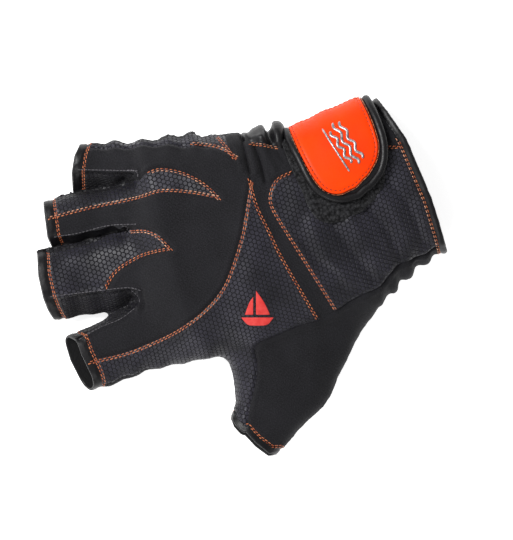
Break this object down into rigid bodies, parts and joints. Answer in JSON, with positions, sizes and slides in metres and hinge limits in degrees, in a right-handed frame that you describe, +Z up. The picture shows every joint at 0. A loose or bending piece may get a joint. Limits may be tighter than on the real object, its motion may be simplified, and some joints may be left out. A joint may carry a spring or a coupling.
{
  "type": "short-finger sailing glove",
  "caption": "Right-hand short-finger sailing glove, sewn from stretch panels, with stalls that bend at their roots and a wrist tab that peels up.",
  "frame": {"origin": "middle of the palm pad's flat underside, on the surface that the glove lies on, palm down", "axes": "+Y from the cuff to the fingertips, +X from the thumb side to the little-finger side, +Z up out of the back of the hand"},
  "size_m": [0.1508, 0.1736, 0.0389],
  "materials": {
    "plain_stretch": "matt black plain-knit stretch fabric",
    "embossed_stretch": "matt blue-black stretch fabric with a small raised hexagon pattern",
    "palm_suede": "dark grey synthetic suede",
    "palm_pad": "black synthetic suede reinforcement",
    "binding": "smooth black binding tape and folded hems",
    "hook_and_loop": "black hook-and-loop pile",
    "badge_orange": "glossy orange moulded badge",
    "silver_relief": "satin silver raised relief",
    "transfer_red": "matt red heat transfer"
  },
  "bodies": {
    "hand": {"cuff_binding": "binding", "little_leaf": "embossed_stretch", "ring_leaf": "embossed_stretch", "middle_leaf": "embossed_stretch", "metacarpal_panel": "embossed_stretch", "gusset_strip": "plain_stretch", "cuff_panel": "embossed_stretch", "thumb_base_panel": "plain_stretch", "back_panel": "plain_stretch", "palm_panel": "palm_suede", "palm_pad": "palm_pad", "heel_pad": "palm_pad", "thumb_pad": "palm_pad", "wrist_elastic": "binding", "ulnar_side_panel": "embossed_stretch", "ring_little_web": "embossed_stretch", "middle_ring_web": "embossed_stretch", "index_middle_web": "embossed_stretch", "index_side_panel": "embossed_stretch", "thumb_web": "embossed_stretch", "heel_side_panel": "plain_stretch", "loop_patch": "hook_and_loop", "wrist_strap": "binding", "sail_transfer": "transfer_red"},
    "index_stall": {"index_side_insert": "embossed_stretch", "index_back": "plain_stretch", "index_palm": "palm_suede", "index_radial_fourchette": "embossed_stretch", "index_ulnar_fourchette": "embossed_stretch", "index_hem": "binding"},
    "middle_stall": {"middle_back": "embossed_stretch", "middle_palm": "palm_suede", "middle_radial_fourchette": "embossed_stretch", "middle_ulnar_fourchette": "embossed_stretch", "middle_hem": "binding"},
    "ring_stall": {"ring_side_insert": "embossed_stretch", "ring_back": "plain_stretch", "ring_palm": "palm_suede", "ring_radial_fourchette": "embossed_stretch", "ring_ulnar_fourchette": "embossed_stretch", "ring_hem": "binding"},
    "little_stall": {"little_side_insert": "embossed_stretch", "little_back": "plain_stretch", "little_palm": "palm_suede", "little_radial_fourchette": "embossed_stretch", "little_ulnar_fourchette": "embossed_stretch", "little_hem": "binding"},
    "thumb_stall": {"thumb_side_insert": "embossed_stretch", "thumb_back": "plain_stretch", "thumb_palm": "palm_suede", "thumb_radial_fourchette": "embossed_stretch", "thumb_ulnar_fourchette": "embossed_stretch", "thumb_hem": "binding"},
    "closure_tab": {"hook_patch": "hook_and_loop", "tab_base": "binding", "tab_piping": "binding", "tab_badge": "badge_orange", "badge_wave": "silver_relief"}
  },
  "joints": [
    {"name": "index_bend", "type": "hinge", "parent": "hand", "child": "index_stall", "pos_m": [-0.02837, 0.05695, 0.0072], "axis": [-0.9941, -0.1087, 0], "range_deg": [0, 60], "stiffness_Nm_per_rad": 0.03},
    {"name": "middle_bend", "type": "hinge", "parent": "hand", "child": "middle_stall", "pos_m": [0.00516, 0.054, 0.00743], "axis": [-1, -0.0049, 0], "range_deg": [0, 60], "stiffness_Nm_per_rad": 0.03},
    {"name": "ring_bend", "type": "hinge", "parent": "hand", "child": "ring_stall", "pos_m": [0.0304, 0.049, 0.00743], "axis": [-1, 0, 0], "range_deg": [0, 60], "stiffness_Nm_per_rad": 0.03},
    {"name": "little_bend", "type": "hinge", "parent": "hand", "child": "little_stall", "pos_m": [0.04932, 0.04094, 0.00698], "axis": [-0.9914, 0.1309, 0], "range_deg": [0, 60], "stiffness_Nm_per_rad": 0.03},
    {"name": "thumb_bend", "type": "hinge", "parent": "hand", "child": "thumb_stall", "pos_m": [-0.0657, 0.00494, 0.0099], "axis": [-0.5436, -0.8393, 0], "range_deg": [0, 40], "stiffness_Nm_per_rad": 0.04},
    {"name": "tab_peel", "type": "hinge", "parent": "hand", "child": "closure_tab", "pos_m": [0.0492, -0.0505, 0.0195], "axis": [-0.1222, 0.9925, 0], "range_deg": [0, 110]}
  ]
}
